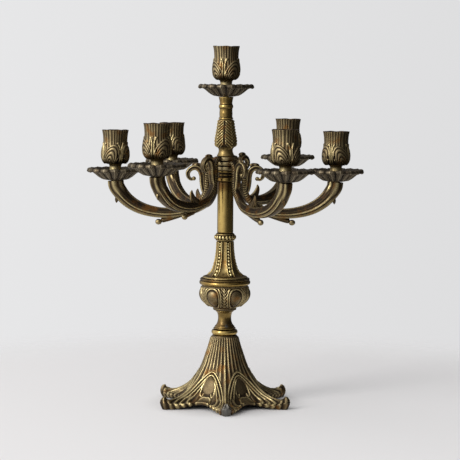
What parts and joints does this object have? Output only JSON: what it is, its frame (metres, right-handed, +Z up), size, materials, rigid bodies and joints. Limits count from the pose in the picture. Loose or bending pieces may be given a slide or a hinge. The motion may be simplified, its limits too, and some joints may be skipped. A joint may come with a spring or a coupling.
{
  "type": "tabletop candelabra",
  "caption": "Cast brass table candelabra with a flared leaf foot, a turned column, swivelling double arms and a candle cup with a drip pan at every light.",
  "frame": {"origin": "on the table, on the column's axis, at the centre of the six feet", "axes": "+Z up along the column; +X towards the lower arm pair's first light; -Y is the front"},
  "size_m": [0.316, 0.28, 0.411],
  "materials": {
    "cast_brass": "cast brass with a brown patina in the hollows and worn gold edges",
    "pan_brass": "cast brass, heavily darkened and grey-brown",
    "bright_brass": "turned brass, polished and lightly tarnished",
    "steel": "plain zinc-plated steel"
  },
  "bodies": {
    "stand": {"base_foot": "cast_brass", "base_washer": "steel", "base_nut": "steel", "collar_ring": "bright_brass", "neck_spool": "bright_brass", "bowl": "cast_brass", "band_ring": "bright_brass", "trumpet": "cast_brass", "bead_knop": "cast_brass", "stem_tube": "bright_brass", "hub_collar": "bright_brass", "upper_baluster": "cast_brass", "top_stem": "bright_brass", "pan_centre": "pan_brass", "cup_centre": "cast_brass", "tie_rod": "steel"},
    "lower_pair": {"lower_arms": "cast_brass", "pan_lower_a": "pan_brass", "cup_lower_a": "cast_brass", "stud_lower_a": "steel", "pan_lower_b": "pan_brass", "cup_lower_b": "cast_brass", "stud_lower_b": "steel"},
    "middle_pair": {"middle_arms": "cast_brass", "pan_middle_a": "pan_brass", "cup_middle_a": "cast_brass", "stud_middle_a": "steel", "pan_middle_b": "pan_brass", "cup_middle_b": "cast_brass", "stud_middle_b": "steel"},
    "upper_pair": {"upper_arms": "cast_brass", "pan_upper_a": "pan_brass", "cup_upper_a": "cast_brass", "stud_upper_a": "steel", "pan_upper_b": "pan_brass", "cup_upper_b": "cast_brass", "stud_upper_b": "steel"}
  },
  "joints": [
    {"name": "lower_swivel", "type": "hinge", "parent": "stand", "child": "lower_pair", "pos_m": [0, 0, 0.2716], "axis": [0, 0, 1], "continuous": true},
    {"name": "middle_swivel", "type": "hinge", "parent": "lower_pair", "child": "middle_pair", "pos_m": [0, 0, 0.2771], "axis": [0, 0, 1], "range_deg": [-11, 27]},
    {"name": "upper_swivel", "type": "hinge", "parent": "middle_pair", "child": "upper_pair", "pos_m": [0, 0, 0.2826], "axis": [0, 0, 1], "range_deg": [-11, 35]}
  ]
}
